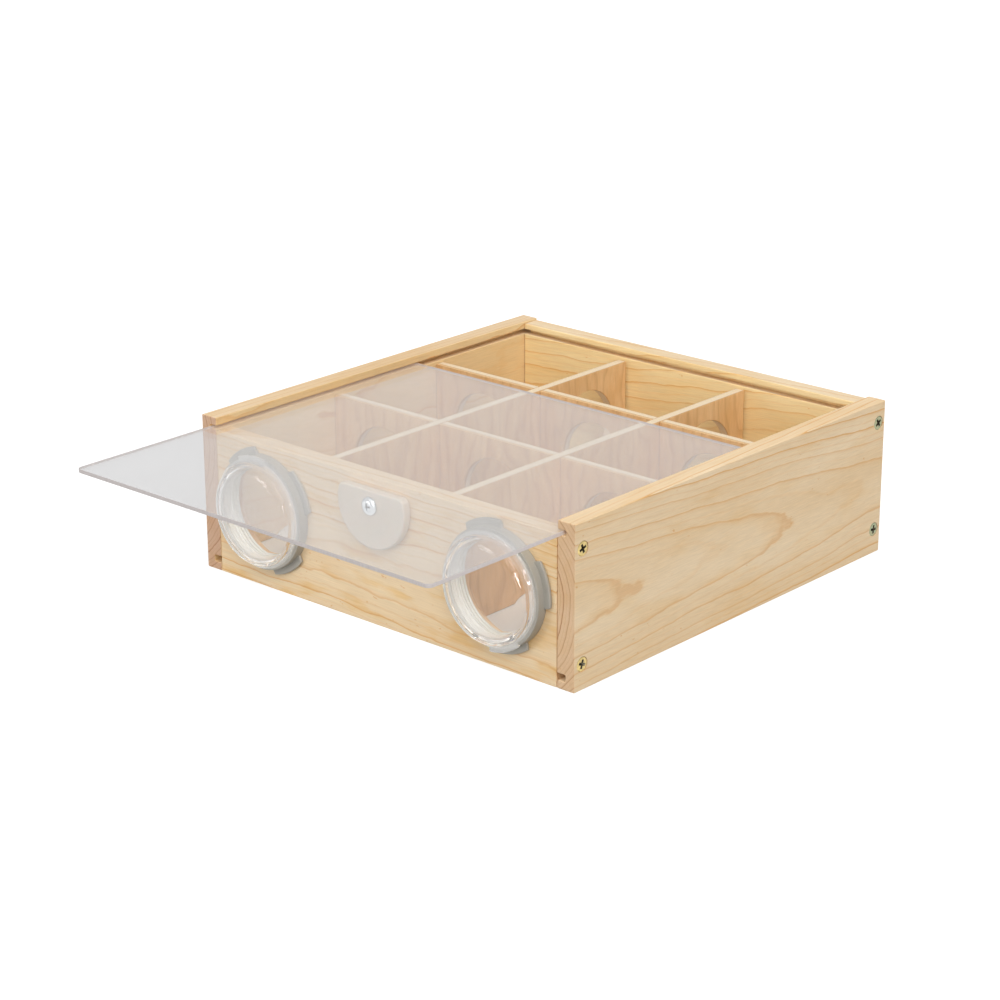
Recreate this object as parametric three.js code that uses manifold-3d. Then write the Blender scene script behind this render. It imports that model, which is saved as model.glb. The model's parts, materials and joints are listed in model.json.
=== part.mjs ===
// Nine-chamber wooden small-animal box with a sliding clear lid, a turning latch plate
// and two round ports closed by clear domed caps. Millimetres, +Z up.
//
// The parts are drawn in box coordinates: X across, Y from the front face backwards,
// Z up from the surface the box stands on. The exported group then shifts them along Y,
// so that the origin is the bottom centre of the whole object with its lid pulled out.

import * as THREE from 'three';
import { mergeVertices } from 'three/addons/utils/BufferGeometryUtils.js';
import Module from 'manifold-3d';

const wasm = await Module();
wasm.setup();

// Box
const BOX_WIDTH = 300;
const BOX_DEPTH = 300;
const BOX_HEIGHT = 100;
const BOARD = 12.5;
const GAP = 0.3;
const INNER_HALF = BOX_WIDTH / 2 - BOARD;
const FRONT_TOP = 91.2;
const BACK_TOP = 98.8;
const BACK_RECESS = 0.8;
const BACK_INNER_Y = BOX_DEPTH - BACK_RECESS - BOARD;

// Grooves in the boards
const GROOVE_DEPTH = 6;
const LID_GROOVE = { bottom: 91.6, height: 3.3 };
const FLOOR_GROOVE = { bottom: 5, height: 4.3, frontDepth: 5 };
const PLAY = 0.5;

// Lid, drawn where it stands when it is pulled part of the way out
const LID = { thickness: 2.5, length: 287, pulledOut: 112, underside: 92, corner: 4, sidePlay: 2.2 };
const LID_HALF_WIDTH = INNER_HALF + GROOVE_DEPTH - LID.sidePlay;
const LID_BACK_CLOSED = BACK_INNER_Y + GROOVE_DEPTH - PLAY;
const LID_BACK = LID_BACK_CLOSED - LID.pulledOut;
const LID_FRONT = LID_BACK - LID.length;

// Floor panel
const FLOOR_THICKNESS = 3.7;
const FLOOR_TOP = FLOOR_GROOVE.bottom + GAP + FLOOR_THICKNESS;

// Egg-crate dividers
const DIVIDER_TOP = 90;
const DIVIDER_BOTTOM = FLOOR_TOP + GAP;
const LAP_HEIGHT = (DIVIDER_TOP + DIVIDER_BOTTOM) / 2;
const LONG_DIVIDER = { thickness: 6.5, x: 49, frontGap: 2, rearGap: 2 };
const CROSS_DIVIDER = { thickness: 7, y: [105.5, 200.5], sideGap: 0.5 };
const PASSAGE = { radius: 26.5, x: 94.4, z: 50.5, rearY: 245, rearZ: 52 };

// Ports in the front board
const PORT = { x: 94.3, z: 50, hole: 34 };
const SLEEVE = { inner: 31.4, outer: 33.7, front: -5.3, back: 7 };
const RING = {
  inner: 34, outer: 35.6, front: -7, lip: 31.5, lipThickness: 1.4,
  lug: 39.7, lugThickness: 1.8, lugHalfTip: 20, lugHalfBase: 23,
};
const RING_TURN = { left: 31, right: 16 };
const CAP = { rim: 34, rimFront: -10.3, rimBack: -7.3, wall: 1.8, spigot: 31.1, spigotBack: -1 };
const DOME = { flat: 25.5, front: -16, shoulder: 5.5, base: 32.2 };
const CAP_TAB = { reach: 36.4, root: 33.2, halfAngle: 18.5, thickness: 2, left: 93, right: -69 };

// Latch plate, a thick disc with one flat, on a pan-head screw
const LATCH = { radius: 27, flat: 9.3, z: 76.5, thickness: 6, corner: 3, bevel: 1.4, hole: 2.6 };
const LATCH_SCREW = {
  head: 5.8,
  headHeight: 2.8,
  headCurve: [[0.5, 0.25], [0.8, 0.8], [0.96, 1.6]],
  shank: 2.2,
  tipY: 10.5,
  pointLength: 3,
  pointRadius: 0.4,
};

// Countersunk side screws
const SCREW = {
  head: 4.35, shank: 1.8, length: 35, headDepth: 2.6, lip: 0.4, pointLength: 4, pointRadius: 0.4,
};
const SCREW_FRONT_Y = 6.9;
const SCREW_BACK_Y = 293.2;
const SCREW_HEIGHTS = { frontUpper: 84.4, frontLower: 15.7, backUpper: 86.7, backLower: 16 };
const RECESS = { span: 4.8, width: 1.1, depth: 1.6 };

// How far a cutting tool reaches past the surface it opens
const CUT_PAST = 1;

const ROUND = 48;
const SMALL_ROUND = 16;

const pine = new THREE.MeshStandardMaterial({ color: 0xe3c594, roughness: 0.55, metalness: 0 });
const plywood = new THREE.MeshStandardMaterial({ color: 0xd3a772, roughness: 0.6, metalness: 0 });
const floorBoard = new THREE.MeshStandardMaterial({ color: 0xdedcd8, roughness: 0.5, metalness: 0 });
const acrylic = new THREE.MeshStandardMaterial({ color: 0xe6e3e4, roughness: 0.05, metalness: 0 });
const latchPlastic = new THREE.MeshStandardMaterial({ color: 0xe2dcd6, roughness: 0.3, metalness: 0 });
const capPlastic = new THREE.MeshStandardMaterial({ color: 0xe9e6e2, roughness: 0.08, metalness: 0 });
const sleevePlastic = new THREE.MeshStandardMaterial({ color: 0xe4e3da, roughness: 0.25, metalness: 0 });
const greyPlastic = new THREE.MeshStandardMaterial({ color: 0xa9a9a1, roughness: 0.5, metalness: 0 });
const yellowZinc = new THREE.MeshStandardMaterial({ color: 0xc7ad63, roughness: 0.3, metalness: 1 });
const brightZinc = new THREE.MeshStandardMaterial({ color: 0xc3cacf, roughness: 0.25, metalness: 1 });

// Solids

function solid(geometry) {
  geometry.deleteAttribute('normal');
  geometry.deleteAttribute('uv');
  const merged = mergeVertices(geometry, 1e-4);
  const index = Array.from(merged.index.array);
  const triangles = [];
  for (let i = 0; i < index.length; i += 3) {
    const [a, b, c] = index.slice(i, i + 3);
    if (a !== b && b !== c && c !== a) triangles.push(a, b, c);
  }
  const vertProperties = new Float32Array(merged.attributes.position.array);
  const build = (list) => new wasm.Manifold(new wasm.Mesh({
    numProp: 3,
    vertProperties,
    triVerts: new Uint32Array(list),
  }));
  const body = build(triangles);
  return body.volume() > 0 ? body : build(triangles.reverse());
}

function block(x0, x1, y0, y1, z0, z1) {
  const geometry = new THREE.BoxGeometry(x1 - x0, y1 - y0, z1 - z0);
  geometry.translate((x0 + x1) / 2, (y0 + y1) / 2, (z0 + z1) / 2);
  return solid(geometry);
}

// A turned body about the Y axis through (x, z), from a profile of [radius, y] points.
function turned(profile, x, z, segments = ROUND) {
  const geometry = new THREE.LatheGeometry(profile.map(([r, y]) => new THREE.Vector2(r, y)), segments);
  geometry.translate(x, 0, z);
  return solid(geometry);
}

function rodAlongY(radius, x, z, y0, y1, segments = ROUND) {
  return turned([[0, y0], [radius, y0], [radius, y1], [0, y1]], x, z, segments);
}

function rodAlongX(radius, y, z, x0, x1, segments = SMALL_ROUND) {
  const geometry = new THREE.CylinderGeometry(radius, radius, x1 - x0, segments);
  geometry.rotateZ(Math.PI / 2);
  geometry.translate((x0 + x1) / 2, y, z);
  return solid(geometry);
}

// An outline in X and Z, extruded forwards from y = back.
function plate(shape, back, thickness, curveSegments, bevel = 0) {
  const geometry = new THREE.ExtrudeGeometry(shape, {
    depth: thickness - 2 * bevel,
    bevelEnabled: bevel > 0,
    bevelThickness: bevel,
    bevelSize: bevel,
    bevelOffset: -bevel,
    bevelSegments: 2,
    curveSegments,
  });
  geometry.rotateX(Math.PI / 2);
  geometry.translate(0, back - bevel, 0);
  return solid(geometry);
}

const cut = (body, tools) => tools.reduce((rest, tool) => rest.subtract(tool), body);

const group = new THREE.Group();

function addPart(name, body, material) {
  const mesh = body.getMesh();
  const geometry = new THREE.BufferGeometry();
  geometry.setAttribute('position', new THREE.BufferAttribute(new Float32Array(mesh.vertProperties), 3));
  geometry.setIndex(new THREE.BufferAttribute(new Uint32Array(mesh.triVerts), 1));
  geometry.computeVertexNormals();
  const part = new THREE.Mesh(geometry, material);
  part.name = name;
  group.add(part);
}

// Side screws: positions, the screw itself and the hole that clears it

const SIDES = [['left', -1], ['right', 1]];
const SCREW_PLACES = [
  ['front_upper', SCREW_FRONT_Y, SCREW_HEIGHTS.frontUpper],
  ['front_lower', SCREW_FRONT_Y, SCREW_HEIGHTS.frontLower],
  ['back_upper', SCREW_BACK_Y, SCREW_HEIGHTS.backUpper],
  ['back_lower', SCREW_BACK_Y, SCREW_HEIGHTS.backLower],
];

// A countersunk screw shape, grown on all sides by `clearance`, head outwards along +X or -X.
function screwShape(side, y, z, clearance = 0) {
  const top = BOX_WIDTH / 2 + (clearance > 0 ? CUT_PAST : 0);
  const seat = BOX_WIDTH / 2 - SCREW.lip;
  const neck = seat - SCREW.headDepth - clearance;
  const end = BOX_WIDTH / 2 - SCREW.length - clearance;
  const profile = [
    [0, top],
    [SCREW.head + clearance, top],
    [SCREW.head + clearance, seat - clearance],
    [SCREW.shank + clearance, neck],
    [SCREW.shank + clearance, end + SCREW.pointLength],
    [SCREW.pointRadius, end],
    [0, end],
  ];
  const geometry = new THREE.LatheGeometry(profile.map(([r, x]) => new THREE.Vector2(r, x)), SMALL_ROUND);
  geometry.rotateZ(-side * Math.PI / 2);
  geometry.translate(0, y, z);
  return solid(geometry);
}

function crossRecessAlongX(side, y, z) {
  const outer = side * (BOX_WIDTH / 2 + CUT_PAST);
  const inner = side * (BOX_WIDTH / 2 - RECESS.depth);
  const [x0, x1] = [Math.min(outer, inner), Math.max(outer, inner)];
  const arm = RECESS.span / 2;
  const half = RECESS.width / 2;
  return [
    block(x0, x1, y - arm, y + arm, z - half, z + half),
    block(x0, x1, y - half, y + half, z - arm, z + arm),
  ];
}

function screwHoles(side) {
  return SCREW_PLACES.map(([, y, z]) => screwShape(side, y, z, GAP));
}

const allScrewHoles = SIDES.flatMap(([, side]) => screwHoles(side));

// Boards

function grooves(x0, x1, y0, y1) {
  return [LID_GROOVE, FLOOR_GROOVE].map((groove) => (
    block(x0, x1, y0, y1, groove.bottom, groove.bottom + groove.height)
  ));
}

function sideBoard(side) {
  const inner = side * INNER_HALF;
  const outer = side * BOX_WIDTH / 2;
  const grooveEnd = inner + side * GROOVE_DEPTH;
  const [x0, x1] = [Math.min(inner, outer), Math.max(inner, outer)];
  const [g0, g1] = [Math.min(inner - side, grooveEnd), Math.max(inner - side, grooveEnd)];
  const board = block(x0, x1, 0, BOX_DEPTH, 0, BOX_HEIGHT);
  return cut(board, [...grooves(g0, g1, -CUT_PAST, BOX_DEPTH + CUT_PAST), ...screwHoles(side)]);
}

function frontBoard() {
  const reach = INNER_HALF - GAP;
  const board = block(-reach, reach, 0, BOARD, 0, FRONT_TOP);
  const floorGroove = block(
    -BOX_WIDTH, BOX_WIDTH, BOARD - FLOOR_GROOVE.frontDepth, BOARD + CUT_PAST,
    FLOOR_GROOVE.bottom, FLOOR_GROOVE.bottom + FLOOR_GROOVE.height,
  );
  const holes = SIDES.map(([, side]) => (
    rodAlongY(PORT.hole, side * PORT.x, PORT.z, -CUT_PAST, BOARD + CUT_PAST)
  ));
  const pilotEnd = LATCH_SCREW.tipY + GAP;
  const pilot = rodAlongY(LATCH_SCREW.shank + GAP, 0, LATCH.z, -CUT_PAST, pilotEnd, SMALL_ROUND);
  return cut(board, [floorGroove, ...holes, pilot, ...allScrewHoles]);
}

function backBoard() {
  const reach = INNER_HALF - GAP;
  const board = block(-reach, reach, BACK_INNER_Y, BACK_INNER_Y + BOARD, 0, BACK_TOP);
  const innerGrooves = grooves(-BOX_WIDTH, BOX_WIDTH, BACK_INNER_Y - CUT_PAST, BACK_INNER_Y + GROOVE_DEPTH);
  return cut(board, [...innerGrooves, ...allScrewHoles]);
}

function floorPanel() {
  const bottom = FLOOR_GROOVE.bottom + GAP;
  const half = INNER_HALF + GROOVE_DEPTH - PLAY;
  const front = BOARD - FLOOR_GROOVE.frontDepth + PLAY;
  const back = BACK_INNER_Y + GROOVE_DEPTH - PLAY;
  return block(-half, half, front, back, bottom, FLOOR_TOP);
}

// Lid: a plain sheet with rounded corners

function slidingLid() {
  const shape = new THREE.Shape();
  const [w, r] = [LID_HALF_WIDTH, LID.corner];
  shape.moveTo(-w + r, LID_FRONT);
  shape.lineTo(w - r, LID_FRONT);
  shape.absarc(w - r, LID_FRONT + r, r, -Math.PI / 2, 0);
  shape.lineTo(w, LID_BACK - r);
  shape.absarc(w - r, LID_BACK - r, r, 0, Math.PI / 2);
  shape.lineTo(-w + r, LID_BACK);
  shape.absarc(-w + r, LID_BACK - r, r, Math.PI / 2, Math.PI);
  shape.lineTo(-w, LID_FRONT + r);
  shape.absarc(-w + r, LID_FRONT + r, r, Math.PI, 1.5 * Math.PI);
  const geometry = new THREE.ExtrudeGeometry(shape, {
    depth: LID.thickness,
    bevelEnabled: false,
    curveSegments: 5,
  });
  geometry.translate(0, 0, LID.underside);
  return solid(geometry);
}

// Dividers: the long ones are slotted from below, the cross ones from above

function longDivider(x) {
  const half = LONG_DIVIDER.thickness / 2;
  const front = BOARD + LONG_DIVIDER.frontGap;
  const back = BACK_INNER_Y - LONG_DIVIDER.rearGap;
  const slotHalf = CROSS_DIVIDER.thickness / 2 + GAP;
  const slots = CROSS_DIVIDER.y.map((y) => (
    block(x - BOARD, x + BOARD, y - slotHalf, y + slotHalf, 0, LAP_HEIGHT + GAP)
  ));
  const passage = rodAlongX(PASSAGE.radius, PASSAGE.rearY, PASSAGE.rearZ, x - BOARD, x + BOARD, ROUND);
  const sheet = block(x - half, x + half, front, back, DIVIDER_BOTTOM, DIVIDER_TOP);
  return cut(sheet, [...slots, passage]);
}

function crossDivider(y) {
  const half = CROSS_DIVIDER.thickness / 2;
  const reach = INNER_HALF - CROSS_DIVIDER.sideGap;
  const slotHalf = LONG_DIVIDER.thickness / 2 + GAP;
  const slots = SIDES.map(([, side]) => {
    const x = side * LONG_DIVIDER.x;
    return block(x - slotHalf, x + slotHalf, y - BOARD, y + BOARD, LAP_HEIGHT - GAP, BOX_HEIGHT);
  });
  const passages = [-PASSAGE.x, 0, PASSAGE.x].map((x) => (
    rodAlongY(PASSAGE.radius, x, PASSAGE.z, y - BOARD, y + BOARD)
  ));
  const sheet = block(-reach, reach, y - half, y + half, DIVIDER_BOTTOM, DIVIDER_TOP);
  return cut(sheet, [...slots, ...passages]);
}

// Ports: a sleeve in the bored hole, a grey ring that holds it by a front lip, and a clear domed cap

function portSleeve(x) {
  const { inner, outer, front, back } = SLEEVE;
  const profile = [[inner, front], [outer, front], [outer, back], [inner, back], [inner, front]];
  return turned(profile, x, PORT.z);
}

function gripOutline(turn) {
  const shape = new THREE.Shape();
  const radians = THREE.MathUtils.degToRad;
  for (let lug = 0; lug < 4; lug += 1) {
    const middle = turn + 90 * lug;
    const tip = radians(RING.lugHalfTip);
    const base = radians(RING.lugHalfBase);
    const centre = radians(middle);
    const next = radians(middle + 90);
    shape.absarc(0, 0, RING.lug, centre - tip, centre + tip);
    shape.absarc(0, 0, RING.outer, centre + base, next - base);
  }
  return shape;
}

function portRing(x, turn) {
  const wall = rodAlongY(RING.outer, 0, 0, RING.front, -GAP);
  const lugs = plate(gripOutline(turn), -GAP, RING.lugThickness, 6);
  const bore = rodAlongY(RING.inner, 0, 0, RING.front + RING.lipThickness, CUT_PAST);
  const mouth = rodAlongY(RING.lip, 0, 0, RING.front - CUT_PAST, CUT_PAST);
  return wall.add(lugs).subtract(bore).subtract(mouth).translate([x, 0, PORT.z]);
}

// The dome from its axis to its base: a flat front, a round shoulder and a steep flank.
function domeCurve(flat, front, shoulder, base) {
  const points = [[0, front], [flat, front]];
  const steps = 4;
  for (let i = 1; i <= steps; i += 1) {
    const angle = (Math.PI / 2) * (i / steps);
    const radius = flat + (base - flat) * Math.sin(angle);
    points.push([radius, front + shoulder * (1 - Math.cos(angle))]);
  }
  return points;
}

function portCap(x, tabAngle) {
  const outside = domeCurve(DOME.flat, DOME.front, DOME.shoulder, DOME.base);
  const innerBase = CAP.spigot - CAP.wall;
  const inside = domeCurve(
    DOME.flat - CAP.wall / 2, DOME.front + CAP.wall, DOME.shoulder, innerBase,
  );
  const profile = [
    ...outside,
    [DOME.base, CAP.rimFront],
    [CAP.rim, CAP.rimFront],
    [CAP.rim, CAP.rimBack],
    [CAP.spigot, CAP.rimBack],
    [CAP.spigot, CAP.spigotBack],
    [innerBase, CAP.spigotBack],
    ...inside.reverse(),
  ];
  const tab = new THREE.Shape();
  const half = THREE.MathUtils.degToRad(CAP_TAB.halfAngle);
  const centre = THREE.MathUtils.degToRad(tabAngle);
  tab.absarc(0, 0, CAP_TAB.reach, centre - half, centre + half);
  tab.absarc(0, 0, CAP_TAB.root, centre + half, centre - half, true);
  const tabPlate = plate(tab, CAP.rimFront + CAP_TAB.thickness + GAP, CAP_TAB.thickness, 6);
  return turned(profile, 0, 0).add(tabPlate).translate([x, 0, PORT.z]);
}

// Latch plate and its screw

function latchPlate() {
  const { radius, flat, corner } = LATCH;
  const cornerHeight = flat - corner;
  const cornerX = Math.sqrt((radius - corner) ** 2 - cornerHeight ** 2);
  const cornerAngle = Math.atan2(cornerHeight, cornerX);
  const shape = new THREE.Shape();
  shape.moveTo(-cornerX, flat);
  shape.absarc(-cornerX, cornerHeight, corner, Math.PI / 2, Math.PI - cornerAngle);
  shape.absarc(0, 0, radius, Math.PI - cornerAngle, 2 * Math.PI + cornerAngle);
  shape.absarc(cornerX, cornerHeight, corner, cornerAngle, Math.PI / 2);
  const disc = plate(shape, -GAP, LATCH.thickness, 14, LATCH.bevel);
  const bore = rodAlongY(LATCH.hole, 0, 0, -LATCH.thickness - CUT_PAST, CUT_PAST, SMALL_ROUND);
  return disc.subtract(bore).translate([0, 0, LATCH.z]);
}

function latchScrew() {
  const seat = -LATCH.thickness - 2 * GAP;
  const top = seat - LATCH_SCREW.headHeight;
  const { head, shank, tipY } = LATCH_SCREW;
  const profile = [
    [0, top],
    ...LATCH_SCREW.headCurve.map(([share, drop]) => [head * share, top + drop]),
    [head, seat],
    [shank, seat],
    [shank, tipY - LATCH_SCREW.pointLength],
    [LATCH_SCREW.pointRadius, tipY],
    [0, tipY],
  ];
  const arm = RECESS.span / 2;
  const half = RECESS.width / 2;
  const depth = top + RECESS.depth;
  return cut(turned(profile, 0, LATCH.z, SMALL_ROUND), [
    block(-arm, arm, top - CUT_PAST, depth, LATCH.z - half, LATCH.z + half),
    block(-half, half, top - CUT_PAST, depth, LATCH.z - arm, LATCH.z + arm),
  ]);
}

// Assembly

for (const [name, side] of SIDES) {
  addPart(`side_board_${name}`, sideBoard(side), pine);
}
addPart('front_board', frontBoard(), pine);
addPart('back_board', backBoard(), pine);
addPart('floor_panel', floorPanel(), floorBoard);
addPart('sliding_lid', slidingLid(), acrylic);

for (const [name, side] of SIDES) {
  addPart(`long_divider_${name}`, longDivider(side * LONG_DIVIDER.x), plywood);
}
addPart('cross_divider_front', crossDivider(CROSS_DIVIDER.y[0]), plywood);
addPart('cross_divider_rear', crossDivider(CROSS_DIVIDER.y[1]), plywood);

for (const [name, side] of SIDES) {
  const x = side * PORT.x;
  addPart(`port_sleeve_${name}`, portSleeve(x), sleevePlastic);
  addPart(`port_ring_${name}`, portRing(x, RING_TURN[name]), greyPlastic);
  addPart(`port_cap_${name}`, portCap(x, CAP_TAB[name]), capPlastic);
}

addPart('latch_plate', latchPlate(), latchPlastic);
addPart('latch_screw', latchScrew(), brightZinc);

for (const [name, side] of SIDES) {
  for (const [place, y, z] of SCREW_PLACES) {
    const screw = cut(screwShape(side, y, z), crossRecessAlongX(side, y, z));
    addPart(`side_screw_${name}_${place}`, screw, yellowZinc);
  }
}

group.position.y = -(LID_FRONT + BOX_DEPTH) / 2;

export default group;
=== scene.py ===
"""Nine-chamber wooden small-animal box with a sliding clear lid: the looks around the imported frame.

Lengths are millimetres in the object's own frame until a mesh is finished, and metres after that.
"""

import json
import math

import bmesh
import bpy
from mathutils import Matrix, Quaternion, Vector


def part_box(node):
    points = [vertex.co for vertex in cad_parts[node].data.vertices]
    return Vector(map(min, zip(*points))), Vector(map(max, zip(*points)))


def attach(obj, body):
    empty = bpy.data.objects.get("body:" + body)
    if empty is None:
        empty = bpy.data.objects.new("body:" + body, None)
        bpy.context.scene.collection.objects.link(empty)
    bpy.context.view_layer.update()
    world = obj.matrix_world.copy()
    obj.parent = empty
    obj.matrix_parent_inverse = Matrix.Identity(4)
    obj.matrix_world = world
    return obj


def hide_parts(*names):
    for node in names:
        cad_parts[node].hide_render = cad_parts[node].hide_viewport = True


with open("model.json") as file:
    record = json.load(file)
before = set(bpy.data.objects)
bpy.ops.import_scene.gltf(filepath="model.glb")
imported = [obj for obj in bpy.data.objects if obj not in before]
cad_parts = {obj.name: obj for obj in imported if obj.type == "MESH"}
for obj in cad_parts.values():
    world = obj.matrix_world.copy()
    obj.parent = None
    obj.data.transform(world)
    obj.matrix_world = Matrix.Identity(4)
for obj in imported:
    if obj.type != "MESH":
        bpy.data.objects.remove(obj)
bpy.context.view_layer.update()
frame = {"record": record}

MM = 0.001
X, Y, Z = Vector((1, 0, 0)), Vector((0, 1, 0)), Vector((0, 0, 1))
SIDES = (("left", -1), ("right", 1))
SCREW_PLACES = ("front_upper", "front_lower", "back_upper", "back_lower")
BODY_OF = {n: b for b, nodes in frame["record"]["behaviour"]["bodies"].items() for n in nodes}


def span(node):
    """The lowest and highest corner of a CAD node, in millimetres."""
    low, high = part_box(node)
    return low / MM, high / MM


def middle(node):
    low, high = span(node)
    return (low + high) / 2


# Sizes that the nodes' boxes don't give

LID_GROOVE = {"low": 91.6, "high": 94.9, "reach": 143.5}
FLOOR_GROOVE_PLAY = 0.5
FLOOR_PLAY = 0.3
FLOOR_EDGE = 0.25
LID = {"corner": 4.0, "edge": 0.22}
EDGE = 0.6
DIVIDER_EDGE = 0.35
LAP_PLAY = 0.3
PASSAGE_RADIUS = 26.5
PASSAGE_HEIGHT = 50.5
REAR_PASSAGE = {"behind_front": 245.0, "height": 52.0}
PORT_RADIUS = 34.0
PILOT_RADIUS = 2.4

# Segments around a turned piece
ROUND = 96
CAP_ROUND = 128
PASSAGE_ROUND = 72
LATCH_ROUND = 48
SMALL_ROUND = 40
HOLE_ROUND = 32

# Points nearer than these count as one point, or as on the axis
MERGE = 1e-4
ON_AXIS = 1e-6

FRONT_Y = span("front_board")[0].y
PORTS = {name: middle(f"port_sleeve_{name}") for name, _ in SIDES}
LATCH_CENTRE = middle("latch_screw")


# Meshes


def rounded(points, radius, steps=5):
    """A closed outline with each corner turned into an arc of the given radius."""
    result = []
    count = len(points)
    for i, corner in enumerate(points):
        here = Vector(corner)
        back = Vector(points[i - 1]) - here
        ahead = Vector(points[(i + 1) % count]) - here
        half = back.angle(ahead) / 2
        reach = min(radius / math.tan(half), back.length * 0.49, ahead.length * 0.49)
        start = here + back.normalized() * reach
        end = here + ahead.normalized() * reach
        for step in range(steps + 1):
            t = step / steps
            point = start.lerp(here, t).lerp(here.lerp(end, t), t)
            result.append(tuple(point))
    return result


def placed(name, data):
    """A new object in the scene."""
    piece = bpy.data.objects.new(name, data)
    bpy.context.scene.collection.objects.link(piece)
    return piece


def finish_mesh(name, bm):
    """Turns a bmesh in millimetres into an object in metres with outward faces."""
    bmesh.ops.remove_doubles(bm, verts=bm.verts, dist=MERGE)
    bmesh.ops.recalc_face_normals(bm, faces=bm.faces)
    mesh = bpy.data.meshes.new(name)
    bm.to_mesh(mesh)
    bm.free()
    mesh.transform(Matrix.Scale(MM, 4))
    return placed(name, mesh)


def rectangle(low, high):
    return [(low.x, low.y), (high.x, low.y), (high.x, high.y), (low.x, high.y)]


def prism(name, outline, axis, start, end):
    """An outline extruded along X, Y or Z. Its points give the other two coordinates in order."""
    order = {"X": (2, 0, 1), "Y": (0, 2, 1), "Z": (0, 1, 2)}[axis]

    def place(point, depth):
        values = (point[0], point[1], depth)
        return [values[i] for i in order]

    bm = bmesh.new()
    loops = []
    for depth in (start, end):
        loops.append([bm.verts.new(place(p, depth)) for p in outline])
    count = len(outline)
    for i in range(count):
        j = (i + 1) % count
        bm.faces.new([loops[0][i], loops[0][j], loops[1][j], loops[1][i]])
    bm.faces.new(loops[0])
    bm.faces.new(list(reversed(loops[1])))
    return finish_mesh(name, bm)


def lathe(name, profile, centre, axis=Y, segments=ROUND):
    """A profile of [radius, distance along the axis] points turned about an axis through centre.

    The profile is a closed loop, or an open line that starts and ends on the axis."""
    side = Z if abs(axis.z) < 0.5 else X
    across = axis.cross(side)
    bm = bmesh.new()
    rings = []
    for radius, along in profile:
        base = Vector(centre) + axis * along
        if radius < ON_AXIS:
            rings.append([bm.verts.new(base)])
            continue
        ring = []
        for i in range(segments):
            angle = 2 * math.pi * i / segments
            arm = side * math.cos(angle) + across * math.sin(angle)
            ring.append(bm.verts.new(base + arm * radius))
        rings.append(ring)
    closed = len(rings[0]) > 1
    following = rings[1:] + (rings[:1] if closed else [])
    for a, b in zip(rings, following):
        for i in range(segments):
            j = (i + 1) % segments
            corners = [a[i % len(a)], a[j % len(a)], b[j % len(b)], b[i % len(b)]]
            unique = list(dict.fromkeys(corners))
            if len(unique) > 2:
                bm.faces.new(unique)
    return finish_mesh(name, bm)


def applied(piece):
    """Replaces the mesh with what its modifiers make of it."""
    graph = bpy.context.evaluated_depsgraph_get()
    mesh = bpy.data.meshes.new_from_object(piece.evaluated_get(graph))
    piece.modifiers.clear()
    piece.data = mesh
    return piece


def soften(piece, width, segments=3, limit=30):
    """Rounds the edges where two faces meet at more than the limit."""
    bevel = piece.modifiers.new("soften", "BEVEL")
    bevel.width = width * MM
    bevel.segments = segments
    bevel.limit_method = "ANGLE"
    bevel.angle_limit = math.radians(limit)
    bevel.use_clamp_overlap = False
    bevel.miter_outer = "MITER_ARC"
    return applied(piece)


def carve(piece, *tools, operation="DIFFERENCE"):
    """Cuts the tools out of a piece, and removes them."""
    for tool in tools:
        boolean = piece.modifiers.new("carve", "BOOLEAN")
        boolean.operation = operation
        boolean.solver = "EXACT"
        boolean.object = tool
    applied(piece)
    for tool in tools:
        bpy.data.objects.remove(tool)
    return piece


def shade(piece, angle=35, weighted=False):
    """Smooth shading with crisp edges where two faces meet at more than the angle."""
    for polygon in piece.data.polygons:
        polygon.use_smooth = True
    piece.data.set_sharp_from_angle(angle=math.radians(angle))
    if weighted:
        normals = piece.modifiers.new("flat_faces", "WEIGHTED_NORMAL")
        normals.keep_sharp = True
        normals.weight = 100
    return piece


def stand_in(piece, node, material):
    """A detailed piece that stands for a CAD node, on that node's body."""
    piece.data.materials.clear()
    piece.data.materials.append(material)
    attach(piece, BODY_OF[node])
    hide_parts(node)
    return piece


def mark(piece, material, chosen):
    """Gives the faces that pass a test a material of their own."""
    piece.data.materials.append(material)
    for polygon in piece.data.polygons:
        if chosen(polygon):
            polygon.material_index = 1


# Shader nodes


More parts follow.
